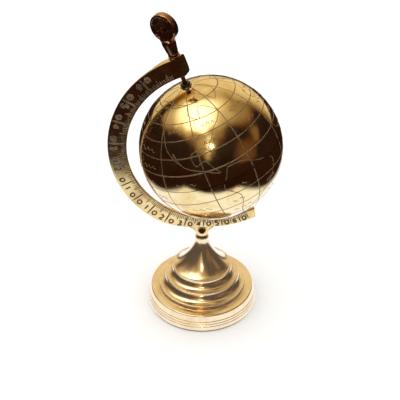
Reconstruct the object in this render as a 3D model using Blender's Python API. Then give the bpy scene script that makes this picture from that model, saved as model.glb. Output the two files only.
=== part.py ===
"""Desktop globe on a stand: a hollow brass globe that spins inside a graduated meridian arc.

Metres, +Z up.  The foot stands on z = 0 with its axis on the world Z axis.  The flat scale face
of the arc looks towards -Y and the arc bulges towards -X.
"""
import math

import bmesh
import bpy
from mathutils import Matrix, Vector

MM = 0.001
TILT = math.radians(19.5)                      # lean of the polar axis towards -X
GLOBE_CENTRE = (4.8 * MM, 0.0, 108.2 * MM)     # middle of the globe and of the arc
GLOBE_RADIUS = 40.0 * MM
SHELL_WALL = 1.4 * MM
SEAM_GAP = 0.15 * MM                           # half the gap between the two shells
SHELL_HOLE_RADIUS = 3.3 * MM                   # polar hole in each shell
RING_STEP = 9.75                               # degrees of latitude between rings of the shells
ARC_INNER_RADIUS = 46.2 * MM
ARC_OUTER_RADIUS = 56.7 * MM
ARC_LOWER_RADIUS = 52.1 * MM                   # outer radius of the slimmer lower end
ARC_TAPER_START = 145.0                        # degrees from straight up where it starts to slim
ARC_TAPER_END = 184.0
ARC_HALF_DEPTH = 3.0 * MM
ARC_NICK = 0.25 * MM                           # eased front edges
BLOCK_END = 24.0                               # degrees; the arc is square-backed up to here
BLOCK_FADE = 36.0                              # degrees; from here on its back is half round
ARC_TOP_FRONT = 1.7 * MM                       # scale face runs this far past the polar axis
ARC_TOP_BACK = 4.6 * MM                        # back of the arc runs this far past it
ARC_FOOT_END_INNER = 213.4                     # degrees from straight up, inner edge of the end
ARC_FOOT_END_OUTER = 208.2                     # degrees from straight up, outer edge of the end
PIVOT_RADIUS = 1.15 * MM                       # turned pivot tips
THREAD_RADIUS = 1.5 * MM                       # threaded shank of the thumb screw
RUNNING_GAP = 0.35 * MM                        # gap between a shaft and its hole
FIT_GAP = 0.3 * MM                             # gap between two pieces that touch
BUSH_TOP = 40.2 * MM                           # outer end of each bush, from the globe's middle
BUSH_BOTTOM = 34.0 * MM
HEAD_RADIUS = 7.6 * MM                         # coin-shaped head of the thumb screw
HEAD_HALF_THICKNESS = 2.1 * MM
HEAD_CENTRE = 73.6 * MM                        # head's middle, from the globe's middle
HEAD_SHIFT = 0.7 * MM                          # head's middle off the screw's axis
HEAD_TURN = math.radians(33.0)                 # head's face turned from -Y towards -X
STEM_BOTTOM = 58.2 * MM
SHANK_END = 45.4 * MM                          # where the thread ends and the tip begins
TIP_END = 35.8 * MM
FOOT_RADIUS = 33.8 * MM                         # rim of the foot
FOOT_BOTTOM = 1.3 * MM                          # underside of the rim
NECK_TOP = 47.6 * MM
RING_TOP = 49.0 * MM                           # top of the dark spacer ring
ROOT_BOTTOM = 49.3                             # underside of the arc's root, in millimetres
FOOT_SCREW_RADIUS = 2.0 * MM
PAD_THICKNESS = 1.0 * MM

POLISHED_BRASS = (0.72, 0.52, 0.25, 1.0)
WORN_BRASS = (0.64, 0.44, 0.19, 1.0)
DARK_BRONZE = (0.17, 0.09, 0.05, 1.0)
STEEL = (0.55, 0.55, 0.54, 1.0)
BLACKENED = (0.03, 0.025, 0.02, 1.0)
FELT = (0.06, 0.13, 0.07, 1.0)


def clear_scene():
    """Remove whatever the file holds at the start."""
    for old in list(bpy.data.objects):
        bpy.data.objects.remove(old, do_unlink=True)


def make_material(name, colour, roughness, metallic):
    """One Principled material."""
    material = bpy.data.materials.new(name)
    material.use_nodes = True
    shader = material.node_tree.nodes["Principled BSDF"]
    shader.inputs["Base Color"].default_value = colour
    shader.inputs["Roughness"].default_value = roughness
    shader.inputs["Metallic"].default_value = metallic
    material.diffuse_color = colour
    return material


def finish_object(name, body, material):
    """Turn a bmesh into a named, smooth-shaded object with faces out."""
    bmesh.ops.recalc_face_normals(body, faces=body.faces)
    mesh = bpy.data.meshes.new(name)
    body.to_mesh(mesh)
    body.free()
    mesh.shade_smooth()
    mesh.set_sharp_from_angle(angle=math.radians(32.0))
    made = bpy.data.objects.new(name, mesh)
    bpy.context.scene.collection.objects.link(made)
    if material is not None:
        mesh.materials.append(material)
    return made


def revolve(profile, segments, turn=None):
    """Spin a closed outline of (radius, height) pairs about local Z."""
    body = bmesh.new()
    rings = []
    for radius, height in profile:
        if radius < 1e-9:
            rings.append([body.verts.new((0.0, 0.0, height))])
            continue
        ring = []
        for step in range(segments):
            angle = 2.0 * math.pi * step / segments
            ring.append(body.verts.new((radius * math.cos(angle), radius * math.sin(angle), height)))
        rings.append(ring)
    for index, ring in enumerate(rings):
        following = rings[(index + 1) % len(rings)]
        join_rings(body, ring, following, segments)
    if turn is not None:
        bmesh.ops.transform(body, matrix=turn, verts=body.verts)
    return body


def join_rings(body, first, second, segments):
    """Faces between two rings; a ring may be one point on the axis."""
    if len(first) == 1 and len(second) == 1:
        return
    for step in range(segments):
        after = (step + 1) % segments
        if len(first) == 1:
            body.faces.new((first[0], second[step], second[after]))
        elif len(second) == 1:
            body.faces.new((first[step], first[after], second[0]))
        else:
            body.faces.new((first[step], first[after], second[after], second[step]))


def place_on_polar_axis(made):
    """Stand local Z along the polar axis, origin at the globe's middle."""
    made.location = GLOBE_CENTRE
    made.rotation_euler = (0.0, -TILT, 0.0)
    return made


def combine(target, tool, operation):
    """Cut or join with a second solid, then drop that solid."""
    tool.hide_render = True
    tool.display_type = 'WIRE'
    change = target.modifiers.new("combine", 'BOOLEAN')
    change.operation = operation
    change.solver = 'EXACT'
    change.object = tool
    bpy.context.view_layer.update()
    evaluated = target.evaluated_get(bpy.context.evaluated_depsgraph_get())
    mesh = bpy.data.meshes.new_from_object(evaluated)
    target.modifiers.clear()
    old_mesh = target.data
    name = old_mesh.name
    target.data = mesh
    bpy.data.meshes.remove(old_mesh)
    mesh.name = name
    bpy.data.objects.remove(tool, do_unlink=True)
    tidy_mesh(mesh)
    return target


def tidy_mesh(mesh):
    """Weld the seams a cut leaves and set the smooth shading again."""
    body = bmesh.new()
    body.from_mesh(mesh)
    bmesh.ops.remove_doubles(body, verts=body.verts, dist=0.00002)
    bmesh.ops.dissolve_degenerate(body, edges=body.edges, dist=0.000005)
    bmesh.ops.recalc_face_normals(body, faces=body.faces)
    body.to_mesh(mesh)
    body.free()
    mesh.shade_smooth()
    mesh.set_sharp_from_angle(angle=math.radians(32.0))


def tube_profile(inner, outer, low, high, bevel=0.0):
    """Outline of a plain ring with a small bevel on its outer edges."""
    if bevel <= 0.0:
        return [(inner, high), (outer, high), (outer, low), (inner, low)]
    return [(inner, high), (outer - bevel, high), (outer, high - bevel),
            (outer, low + bevel), (outer - bevel, low), (inner, low)]


def shell_profile():
    """Half of a hollow sphere, from the seam up to the polar hole."""
    inner_radius = GLOBE_RADIUS - SHELL_WALL
    hole = SHELL_HOLE_RADIUS
    outline = [(hole, math.sqrt(GLOBE_RADIUS ** 2 - hole ** 2))]
    latitude = 8 * RING_STEP
    while latitude > 0.0:
        angle = math.radians(latitude)
        outline.append((GLOBE_RADIUS * math.cos(angle), GLOBE_RADIUS * math.sin(angle)))
        latitude -= RING_STEP
    outline.append((math.sqrt(GLOBE_RADIUS ** 2 - SEAM_GAP ** 2), SEAM_GAP))
    outline.append((math.sqrt(inner_radius ** 2 - SEAM_GAP ** 2), SEAM_GAP))
    for latitude in (8.0, 27.0, 50.0, 72.0):
        angle = math.radians(latitude)
        outline.append((inner_radius * math.cos(angle), inner_radius * math.sin(angle)))
    outline.append((hole, math.sqrt(inner_radius ** 2 - hole ** 2)))
    return outline


def flip_profile(outline):
    """The same outline upside down."""
    return [(radius, -height) for radius, height in reversed(outline)]


def make_shells():
    """The two halves of the globe."""
    upper = finish_object("upper_shell", revolve(shell_profile(), 40),
                          make_material("upper_shell_brass", POLISHED_BRASS, 0.16, 1.0))
    lower = finish_object("lower_shell", revolve(flip_profile(shell_profile()), 40),
                          make_material("lower_shell_brass", POLISHED_BRASS, 0.16, 1.0))
    place_on_polar_axis(upper)
    place_on_polar_axis(lower)


def make_joint_band():
    """Inner lap ring that holds the two shells together at the seam."""
    outer = GLOBE_RADIUS - SHELL_WALL - FIT_GAP
    inner = outer - 1.2 * MM
    half = 4.0 * MM
    shoulder = math.sqrt(outer ** 2 - half ** 2)
    outline = [(inner, half), (shoulder, half), (outer, 0.0), (shoulder, -half), (inner, -half)]
    place_on_polar_axis(finish_object("joint_band", revolve(outline, 40),
                                      make_material("joint_band_brass", WORN_BRASS, 0.4, 1.0)))


def bush_profile():
    """Flanged bush: the barrel fills the polar hole, the flange sits inside the shell."""
    bore = PIVOT_RADIUS + RUNNING_GAP
    barrel = SHELL_HOLE_RADIUS - FIT_GAP
    flange = 5.0 * MM
    flange_top = 37.8 * MM
    flange_low = 36.4 * MM
    return [(bore, BUSH_TOP), (barrel - 0.3 * MM, BUSH_TOP), (barrel, BUSH_TOP - 0.3 * MM),
            (barrel, flange_top), (flange, flange_top), (flange, flange_low),
            (barrel, flange_low), (barrel, BUSH_BOTTOM), (bore, BUSH_BOTTOM)]


def make_bushes():
    """The two bearings of the globe."""
    north = finish_object("north_bush", revolve(bush_profile(), 20),
                          make_material("north_bush_brass", WORN_BRASS, 0.3, 1.0))
    south = finish_object("south_bush", revolve(flip_profile(bush_profile()), 20),
                          make_material("south_bush_brass", WORN_BRASS, 0.3, 1.0))
    place_on_polar_axis(north)
    place_on_polar_axis(south)


def make_polar_washers():
    """Thin dark thrust washers on the two bushes."""
    low = BUSH_TOP + FIT_GAP
    outline = tube_profile(PIVOT_RADIUS + RUNNING_GAP, 2.8 * MM, low, low + 0.9 * MM)
    north = finish_object("north_washer", revolve(outline, 24),
                          make_material("north_washer_blackened", BLACKENED, 0.4, 0.8))
    south = finish_object("south_washer", revolve(flip_profile(outline), 24),
                          make_material("south_washer_blackened", BLACKENED, 0.4, 0.8))
    place_on_polar_axis(north)
    place_on_polar_axis(south)


def make_south_pin():
    """Lower pivot: a collared pin set flush into the arc."""
    collar_top = BUSH_TOP + 2.0 * FIT_GAP + 0.9 * MM
    collar_low = ARC_INNER_RADIUS - FIT_GAP
    end = ARC_LOWER_RADIUS - 0.4 * MM
    outline = [(0.0, -35.6 * MM), (0.85 * MM, -35.6 * MM), (PIVOT_RADIUS, -35.9 * MM),
               (PIVOT_RADIUS, -collar_top), (2.6 * MM, -collar_top), (2.6 * MM, -collar_low),
               (1.2 * MM, -collar_low), (1.2 * MM, -end), (0.0, -end)]
    place_on_polar_axis(finish_object("south_pivot_pin", revolve(outline, 20),
                                      make_material("south_pin_steel", STEEL, 0.35, 1.0)))


def ease(value, low, high):
    """Smooth step from 0 to 1 between two values."""
    share = min(1.0, max(0.0, (value - low) / (high - low)))
    return share * share * (3.0 - 2.0 * share)


def arc_section(degrees):
    """Section as (radius, depth) at an angle: flat face at -Y, square back at the top end,
    half-round back along the rest, slimmer at the lower end."""
    round_share = ease(degrees, BLOCK_END, BLOCK_FADE)
    exponent = 0.45 + 0.55 * round_share
    start = 0.3 * MM - 3.0 * MM * round_share
    slim = ease(degrees, ARC_TAPER_START, ARC_TAPER_END)
    inner = ARC_INNER_RADIUS
    outer = ARC_OUTER_RADIUS + (ARC_LOWER_RADIUS - ARC_OUTER_RADIUS) * slim
    front = -ARC_HALF_DEPTH
    points = [(inner, front + ARC_NICK), (inner + ARC_NICK, front), (outer - ARC_NICK, front),
              (outer, front + ARC_NICK)]
    middle = 0.5 * (inner + outer)
    half = 0.5 * (outer - inner)
    rise = ARC_HALF_DEPTH - start
    for step in range(0, 9):
        angle = math.pi * step / 8.0
        wide = math.copysign(abs(math.cos(angle)) ** exponent, math.cos(angle))
        points.append((middle + half * wide, start + rise * max(math.sin(angle), 0.0) ** exponent))
    return points


def arc_angle_at_top(radius, depth):
    """Angle from straight up of the top end: cut square to the arc, slanting to the back."""
    share = (depth + ARC_HALF_DEPTH) / (2.0 * ARC_HALF_DEPTH)
    reach = ARC_TOP_FRONT + (ARC_TOP_BACK - ARC_TOP_FRONT) * share
    return TILT - math.asin(reach / radius)


def arc_angle_at_foot(radius, depth):
    """Angle from straight up of the lower end: cut slightly askew."""
    share = (radius - ARC_INNER_RADIUS) / (ARC_OUTER_RADIUS - ARC_INNER_RADIUS)
    return math.radians(ARC_FOOT_END_INNER + (ARC_FOOT_END_OUTER - ARC_FOOT_END_INNER) * share)


def arc_station_angles():
    """Angles from straight up of the rings between the two ends; 90 degrees is one of them."""
    stations = [24.0 + 6.0 * step for step in range(11)]
    stations += [90.0 + 6.0 * step for step in range(20)]
    return [math.radians(angle) for angle in stations]


def make_arc_body():
    """The curved bar itself."""
    body = bmesh.new()
    rings = [[body.verts.new(arc_point(radius, depth, arc_angle_at_top(radius, depth)))
              for radius, depth in arc_section(0.0)]]
    for angle in arc_station_angles():
        rings.append([body.verts.new(arc_point(radius, depth, angle))
                      for radius, depth in arc_section(math.degrees(angle))])
    rings.append([body.verts.new(arc_point(radius, depth, arc_angle_at_foot(radius, depth)))
                  for radius, depth in arc_section(ARC_FOOT_END_INNER)])
    for first, second in zip(rings[:-1], rings[1:]):
        join_rings(body, first, second, len(first))
    body.faces.new(rings[0])
    body.faces.new(list(reversed(rings[-1])))
    return body


def arc_point(radius, depth, angle):
    """World point on the arc at an angle from straight up, turning towards -X."""
    return (GLOBE_CENTRE[0] - radius * math.sin(angle), depth,
            GLOBE_CENTRE[2] + radius * math.cos(angle))


def make_boss_body():
    """Flared root under the arc: round at the neck, as thin as the arc where they meet."""
    body = bmesh.new()
    segments = 24
    shape = [(ROOT_BOTTOM, 3.6, 3.6), (49.6, 3.9, 3.9), (51.0, 4.25, 3.9), (52.2, 4.95, 3.6),
             (53.3, 6.0, 3.3), (54.3, 7.6, 3.0), (55.3, 9.2, 2.8), (57.4, 9.2, 2.5)]
    lean = 0.06                                # the arc's underside climbs towards +X
    rings = []
    for height, wide, deep in shape:
        ring = []
        for step in range(segments):
            angle = 2.0 * math.pi * step / segments
            across = wide * math.cos(angle)
            climb = lean * across * ease(height, 49.6, 55.3)
            ring.append(body.verts.new((across * MM, deep * MM * math.sin(angle),
                                        (height + climb) * MM)))
        rings.append(ring)
    for first, second in zip(rings[:-1], rings[1:]):
        join_rings(body, first, second, segments)
    body.faces.new(list(reversed(rings[0])))
    body.faces.new(rings[-1])
    return body


def make_drill(radius, low, high, polar):
    """A cylinder that drills a hole, on the polar axis or on the foot axis."""
    outline = [(0.0, high), (radius, high), (radius, low), (0.0, low)]
    drill = finish_object("drill", revolve(outline, 20), None)
    if polar:
        place_on_polar_axis(drill)
    return drill


def make_arc():
    """Meridian arc, its root and its three holes."""
    arc = finish_object("meridian_arc", make_arc_body(),
                        make_material("meridian_arc_brass", WORN_BRASS, 0.22, 1.0))
    combine(arc, finish_object("boss", make_boss_body(), None), 'UNION')
    combine(arc, make_drill(THREAD_RADIUS + RUNNING_GAP, 40.0 * MM, 62.0 * MM, True), 'DIFFERENCE')
    combine(arc, make_drill(1.2 * MM + FIT_GAP, -62.0 * MM, -40.0 * MM, True), 'DIFFERENCE')
    combine(arc, make_drill(FOOT_SCREW_RADIUS + RUNNING_GAP, 45.0 * MM, 56.6 * MM, False),
            'DIFFERENCE')


def head_profile():
    """Half section of the coin-shaped head: a rim bead round a sunk face on both sides."""
    rim = HEAD_HALF_THICKNESS
    face = 1.25 * MM
    radius = HEAD_RADIUS
    return [(0.0, face), (5.8 * MM, face), (6.2 * MM, rim), (7.0 * MM, rim),
            (radius, rim - 0.8 * MM), (radius, 0.8 * MM - rim), (7.0 * MM, -rim),
            (6.2 * MM, -rim), (5.8 * MM, -face), (0.0, -face)]


def make_web_body():
    """Web that carries the head's outline down into the stem."""
    body = bmesh.new()
    segments = 20
    shape = [(64.6, 3.3, 3.2, 0.0), (65.8, 3.9, 3.0, 0.05), (67.0, 4.75, 2.5, 0.15),
             (68.3, 5.7, 2.0, 0.35), (69.6, 6.4, 1.75, 0.55), (71.0, 6.5, 1.5, 0.7)]
    rings = []
    for height, wide, deep, shift in shape:
        ring = []
        for step in range(segments):
            angle = 2.0 * math.pi * step / segments
            ring.append(body.verts.new(((wide * math.cos(angle) + shift) * MM,
                                        deep * MM * math.sin(angle), height * MM)))
        rings.append(ring)
    for first, second in zip(rings[:-1], rings[1:]):
        join_rings(body, first, second, segments)
    body.faces.new(list(reversed(rings[0])))
    body.faces.new(rings[-1])
    bmesh.ops.transform(body, matrix=Matrix.Rotation(-HEAD_TURN, 4, 'Z'), verts=body.verts)
    return body


def stem_profile():
    """Stem, threaded shank and turned pivot tip on the polar axis."""
    return [(0.0, 67.5 * MM), (2.0 * MM, 67.3 * MM), (3.2 * MM, 66.7 * MM), (3.7 * MM, 65.7 * MM),
            (3.6 * MM, 64.2 * MM), (3.2 * MM, 61.4 * MM), (2.7 * MM, 58.6 * MM),
            (2.5 * MM, STEM_BOTTOM), (THREAD_RADIUS, STEM_BOTTOM), (THREAD_RADIUS, SHANK_END),
            (PIVOT_RADIUS, SHANK_END - 0.35 * MM), (PIVOT_RADIUS, TIP_END + 0.3 * MM),
            (0.85 * MM, TIP_END), (0.0, TIP_END)]


def make_thumb_screw():
    """Dark thumb screw that clamps the upper pivot."""
    screw = finish_object("thumb_screw", revolve(stem_profile(), 24),
                          make_material("thumb_screw_bronze", DARK_BRONZE, 0.28, 1.0))
    facing = Matrix.Rotation(-HEAD_TURN, 4, 'Z') @ Matrix.Rotation(math.radians(90.0), 4, 'X')
    lift = Matrix.Translation(Vector((HEAD_SHIFT, 0.0, HEAD_CENTRE)))
    head = finish_object("head", revolve(head_profile(), 32, lift @ facing), None)
    combine(head, finish_object("web", make_web_body(), None), 'UNION')
    combine(screw, head, 'UNION')
    place_on_polar_axis(screw)


def make_screw_washer():
    """Bright collar washer between the stem and the arc."""
    outline = tube_profile(THREAD_RADIUS + RUNNING_GAP, 3.3 * MM, 57.05 * MM, 57.85 * MM, 0.2 * MM)
    place_on_polar_axis(finish_object("thumb_screw_washer", revolve(outline, 24),
                                      make_material("screw_washer_brass", WORN_BRASS, 0.25, 1.0)))


def stepped_bead(radius, height):
    """A rounded bead with an undercut below it, then the top of the next slope."""
    return [(radius - 0.65, height + 1.0), (radius, height + 0.4), (radius, height - 0.4),
            (radius - 0.55, height - 0.95), (radius - 1.15, height - 1.15),
            (radius - 0.85, height - 1.75)]


def foot_profile():
    """Turned foot: neck, concave bell, three beaded tiers, tall rim and hollow underside."""
    outline = [(2.35, 47.6), (3.75, 47.6), (4.05, 47.3), (4.1, 45.4), (4.5, 43.4), (5.3, 40.9),
               (6.5, 38.2), (8.2, 35.3), (10.4, 32.3), (13.0, 29.4), (15.4, 27.2)]
    outline += stepped_bead(17.85, 25.6)
    outline += [(19.2, 21.2)]
    outline += stepped_bead(22.35, 19.7)
    outline += [(23.8, 15.3)]
    outline += stepped_bead(26.85, 13.8)
    rim = FOOT_RADIUS / MM
    bottom = FOOT_BOTTOM / MM
    outline += [(30.7, 11.2), (31.7, 10.6), (rim, bottom + 1.0), (rim, bottom + 0.3),
                (rim - 0.3, bottom), (rim - 2.6, bottom), (30.0, 7.6), (24.0, 9.6), (19.4, 15.2),
                (14.8, 20.8), (9.6, 25.6), (7.2, 28.0), (2.35, 28.0)]
    return [(radius * MM, height * MM) for radius, height in outline]


def make_foot():
    """Turned brass foot."""
    finish_object("foot", revolve(foot_profile(), 36),
                  make_material("foot_brass", POLISHED_BRASS, 0.2, 1.0))


def make_foot_pad():
    """Felt disc glued under the foot."""
    outline = [(0.0, PAD_THICKNESS), (33.0 * MM, PAD_THICKNESS), (33.0 * MM, 0.0), (0.0, 0.0)]
    finish_object("foot_pad", revolve(outline, 36), make_material("foot_pad_felt", FELT, 0.95, 0.0))


def make_neck_ring():
    """Blackened spacer ring between neck and arc."""
    outline = tube_profile(FOOT_SCREW_RADIUS + RUNNING_GAP, 3.5 * MM, NECK_TOP + FIT_GAP, RING_TOP)
    finish_object("neck_ring", revolve(outline, 24),
                  make_material("neck_ring_blackened", BLACKENED, 0.5, 0.7))


def make_foot_screw():
    """Screw that draws the arc down on the foot, put in from below, with a cross slot."""
    outline = [(0.0, 56.0), (1.6, 56.0), (2.0, 55.6), (2.0, 26.5), (3.8, 26.5), (3.8, 25.0),
               (2.6, 23.7), (0.0, 23.5)]
    scaled = [(radius * MM, height * MM) for radius, height in outline]
    screw = finish_object("foot_screw", revolve(scaled, 24),
                          make_material("foot_screw_steel", STEEL, 0.35, 1.0))
    body = bmesh.new()
    size = Matrix.Diagonal(Vector((5.0 * MM, 0.9 * MM, 2.4 * MM, 1.0)))
    centre = Matrix.Translation(Vector((0.0, 0.0, 23.6 * MM)))
    bmesh.ops.create_cube(body, size=1.0, matrix=centre @ size)
    combine(screw, finish_object("slot", body, None), 'DIFFERENCE')


def make_foot_screw_washer():
    """Flat washer under the screw head."""
    outline = tube_profile(FOOT_SCREW_RADIUS + RUNNING_GAP, 5.2 * MM, 26.8 * MM, 27.7 * MM)
    finish_object("foot_screw_washer", revolve(outline, 24),
                  make_material("foot_washer_steel", STEEL, 0.4, 1.0))


clear_scene()
make_foot_pad()
make_foot()
make_foot_screw_washer()
make_foot_screw()
make_neck_ring()
make_arc()
make_south_pin()
make_shells()
make_joint_band()
make_bushes()
make_polar_washers()
make_screw_washer()
make_thumb_screw()
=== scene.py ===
"""Looks of a desktop globe on a stand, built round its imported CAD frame.  Metres, +Z up."""
import math
import random

import bmesh
import bpy
import numpy as np
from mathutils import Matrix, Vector


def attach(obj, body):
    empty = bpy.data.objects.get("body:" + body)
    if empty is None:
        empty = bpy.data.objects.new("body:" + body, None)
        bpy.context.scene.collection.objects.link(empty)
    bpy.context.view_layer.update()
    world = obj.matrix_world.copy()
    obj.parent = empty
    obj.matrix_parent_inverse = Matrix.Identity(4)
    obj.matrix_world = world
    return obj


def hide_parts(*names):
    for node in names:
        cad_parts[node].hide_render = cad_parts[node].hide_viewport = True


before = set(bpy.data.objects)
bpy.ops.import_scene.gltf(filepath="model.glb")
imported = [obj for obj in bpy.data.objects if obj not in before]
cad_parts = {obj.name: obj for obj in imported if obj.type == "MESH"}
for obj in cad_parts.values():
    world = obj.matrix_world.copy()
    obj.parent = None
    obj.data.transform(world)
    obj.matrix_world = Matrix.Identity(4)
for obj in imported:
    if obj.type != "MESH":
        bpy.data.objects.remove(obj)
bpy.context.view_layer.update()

MM = 0.001
TILT = math.radians(19.5)
CENTRE = np.array([4.8, 0.0, 108.2])           # millimetres
POLE = np.array([-math.sin(TILT), 0.0, math.cos(TILT)])
ACROSS = np.array([math.cos(TILT), 0.0, math.sin(TILT)])
BEHIND = np.array([0.0, 1.0, 0.0])
GLOBE_RADIUS = 39.9
SHELL_INNER = 38.6
SEAM_GAP = 0.6                                 # degrees that cut lines stop short of the seam
ARC_INNER = 46.2
ARC_OUTER = 56.7
ARC_LOWER = 52.1                               # outer radius of the slimmer lower end
ARC_FRONT = -3.0
ARC_BACK = 3.0
SCALE_START = 19.0                             # degrees from straight up where the scale counts from
HEAD_RADIUS = 7.55
HEAD_HALF = 2.1                                # half of the head's thickness at its rim
HEAD_CENTRE = 73.6                             # along the polar axis from the globe's middle
HEAD_SHIFT = 0.7
HEAD_TURN = math.radians(33.0)
HEAD_FACE_EDGE = 5.9
RIB_PITCH = 1.3
RIB_HEIGHT = 0.62
CROSS_PITCH = 1.5
CROSS_HEIGHT = 0.12
TRACK_STEP = 1.6                               # degrees between points of a cut line on the globe
PARALLEL_CUTS = (0.28, 0.34)                   # half widths of the cut lines
MERIDIAN_CUT = 0.3
OVERRUN_CUT = 0.18
MARK_CUT = 0.24
COAST_CUT = 0.22
ZERO_AT = 107.9                                # degrees from the scale's start to its zero mark
TENS_AFTER = 12.2                              # spacing of the ten marks past zero
TENS_BEFORE = 14.6                             # and before it
FIRST_BEFORE = 95.6
TICK_FOOT = 46.6                               # radius where every mark starts
TEN_CUT = 0.52
FIVE_TOP = 51.0
FIVE_CUT = 0.38
UNIT_TOP = 49.5
UNIT_CUT = 0.3
LAST_TICK = 188.0
DIGIT_HEIGHT = 3.3
DIGIT_CUT = 0.6
DIGIT_ASIDE = 3.3                              # degrees between a ten mark and its digits
LIPS = ((17.85, 25.6), (22.35, 19.7), (26.85, 13.8))   # radius and height of the foot's lips
RIM_GROOVES = (7.35, 5.75, 4.15)               # heights of the grooves in the foot's rim


# ---------------------------------------------------------------- meshes

def build(name, points, faces, materials, body, nodes=(), face_slots=None, sharp=38.0):
    """A mesh piece in millimetres that rides on a body and may stand for CAD nodes."""
    mesh = bpy.data.meshes.new(name)
    mesh.from_pydata([tuple(float(value) * MM for value in point) for point in points], [], faces)
    for material in materials:
        mesh.materials.append(material)
    if face_slots is not None:
        mesh.polygons.foreach_set("material_index", face_slots)
    mesh.validate()
    tidy(mesh, sharp)
    piece = bpy.data.objects.new(name, mesh)
    bpy.context.scene.collection.objects.link(piece)
    settle(piece, body, nodes)
    return piece


def tidy(mesh, sharp):
    """Faces out, smooth shading with creases where the angle is sharp."""
    work = bmesh.new()
    work.from_mesh(mesh)
    bmesh.ops.recalc_face_normals(work, faces=work.faces)
    work.to_mesh(mesh)
    work.free()
    mesh.shade_smooth()
    mesh.set_sharp_from_angle(angle=math.radians(sharp))


def settle(piece, body, nodes):
    """Body and replaced nodes of a piece."""
    if body is None:
        return
    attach(piece, body)
    if nodes:
        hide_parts(*nodes)


def revolve(profile, segments, polar):
    """Points and faces of a closed outline of (radius, height) spun about an axis."""
    points = []
    rings = []
    for radius, height in profile:
        if radius < 1e-6:
            rings.append([len(points)])
            points.append(place(0.0, 0.0, height, polar))
            continue
        rings.append(list(range(len(points), len(points) + segments)))
        for step in range(segments):
            angle = 2.0 * math.pi * step / segments
            points.append(place(radius * math.cos(angle), radius * math.sin(angle), height, polar))
    faces = []
    for index, first in enumerate(rings):
        second = rings[(index + 1) % len(rings)]
        faces += ring_faces(first, second, segments)
    return points, faces


def place(across, behind, up, polar):
    """A point in the globe's own axes or in the foot's, as a world point."""
    if polar:
        return CENTRE + across * ACROSS + behind * BEHIND + up * POLE
    return np.array([across, behind, up])


def ring_faces(first, second, segments):
    """Faces between two rings; either may be a single point."""
    faces = []
    if len(first) == 1 and len(second) == 1:
        return faces
    for step in range(segments):
        after = (step + 1) % segments
        if len(first) == 1:
            faces.append((first[0], second[step], second[after]))
        elif len(second) == 1:
            faces.append((first[step], first[after], second[0]))
        else:
            faces.append((first[step], first[after], second[after], second[step]))
    return faces


def loft_faces(count, size, flip_first):
    """Faces of a closed loft of count rings of size points each, with both ends filled."""
    faces = []
    for index in range(count - 1):
        here = list(range(index * size, (index + 1) * size))
        faces += ring_faces(here, [value + size for value in here], size)
    first = tuple(range(size))
    last = tuple(range((count - 1) * size, count * size))
    if flip_first:
        return faces + [tuple(reversed(first)), last]
    return faces + [first, tuple(reversed(last))]


def turned(name, profile, segments, material, body, node, polar=True, sharp=38.0):
    """A turned piece that stands for one CAD node."""
    points, faces = revolve(profile, segments, polar)
    return build(name, points, faces, [material], body, (node,), sharp=sharp)


def combine(target, tool, operation):
    """Boolean with a second solid, applied, then the second solid is dropped."""
    change = target.modifiers.new("combine", 'BOOLEAN')
    change.operation = operation
    change.solver = 'EXACT'
    change.object = tool
    bpy.context.view_layer.update()
    evaluated = target.evaluated_get(bpy.context.evaluated_depsgraph_get())
    mesh = bpy.data.meshes.new_from_object(evaluated)
    target.modifiers.clear()
    old = target.data
    target.data = mesh
    bpy.data.meshes.remove(old)
    bpy.data.objects.remove(tool, do_unlink=True)


def smooth_curve(points, steps):
    """Catmull-Rom curve through the points."""
    knots = [np.array(point, float) for point in points]
    knots = [2 * knots[0] - knots[1]] + knots + [2 * knots[-1] - knots[-2]]
    curve = []
    for index in range(1, len(knots) - 2):
        before, start, end, after = knots[index - 1:index + 3]
        for step in range(steps):
            share = step / steps
            curve.append(0.5 * (2 * start + (end - before) * share
                                + (2 * before - 5 * start + 4 * end - after) * share ** 2
                                + (3 * start - before - 3 * end + after) * share ** 3))
    curve.append(knots[-2])
    return curve


def ease(value, low, high):
    """Smooth step from 0 to 1 between two values."""
    share = min(1.0, max(0.0, (value - low) / (high - low)))
    return share * share * (3.0 - 2.0 * share)


def round_part(middle, radius, first, last, count):
    """Points on a circle from one angle to another, in degrees."""
    return [(middle[0] + radius * math.cos(math.radians(angle)),
             middle[1] + radius * math.sin(math.radians(angle)))
            for angle in np.linspace(first, last, count)]


# ---------------------------------------------------------------- engraved strokes

def ribbon(path, normals, half_width, closed, points, faces, slots, burr=0.035, floor=0.006):
    """A cut line: two raised burrs with a darker V between them, sunk into the surface."""
    count = len(path)
    if count < 2:
        return
    start = len(points)
    for index in range(count):
        if closed:
            ahead = path[(index + 1) % count] - path[index - 1]
        else:
            ahead = path[min(index + 1, count - 1)] - path[max(index - 1, 0)]
        ahead = ahead / (np.linalg.norm(ahead) + 1e-12)
        normal = normals[index]
        side = np.cross(ahead, normal)
        side = side / (np.linalg.norm(side) + 1e-12)
        wide = half_width
        if not closed and index in (0, count - 1):
            wide = half_width * 0.35
        for share, height in ((-1.0, -0.03), (-0.8, burr), (0.0, floor), (0.8, burr),
                              (1.0, -0.03), (0.0, -0.06)):
            points.append(path[index] + side * wide * share + normal * height)
    runs = count if closed else count - 1
    for index in range(runs):
        here = start + 6 * index
        there = start + 6 * ((index + 1) % count)
        for corner in range(6):
            after = (corner + 1) % 6
            faces.append((here + corner, here + after, there + after, there + corner))
            slots.append(2 if corner in (1, 2) else 1)
    if not closed:
        faces.append(tuple(start + corner for corner in range(6)))
        faces.append(tuple(start + 6 * (count - 1) + corner for corner in reversed(range(6))))
        slots += [1, 1]


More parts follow.
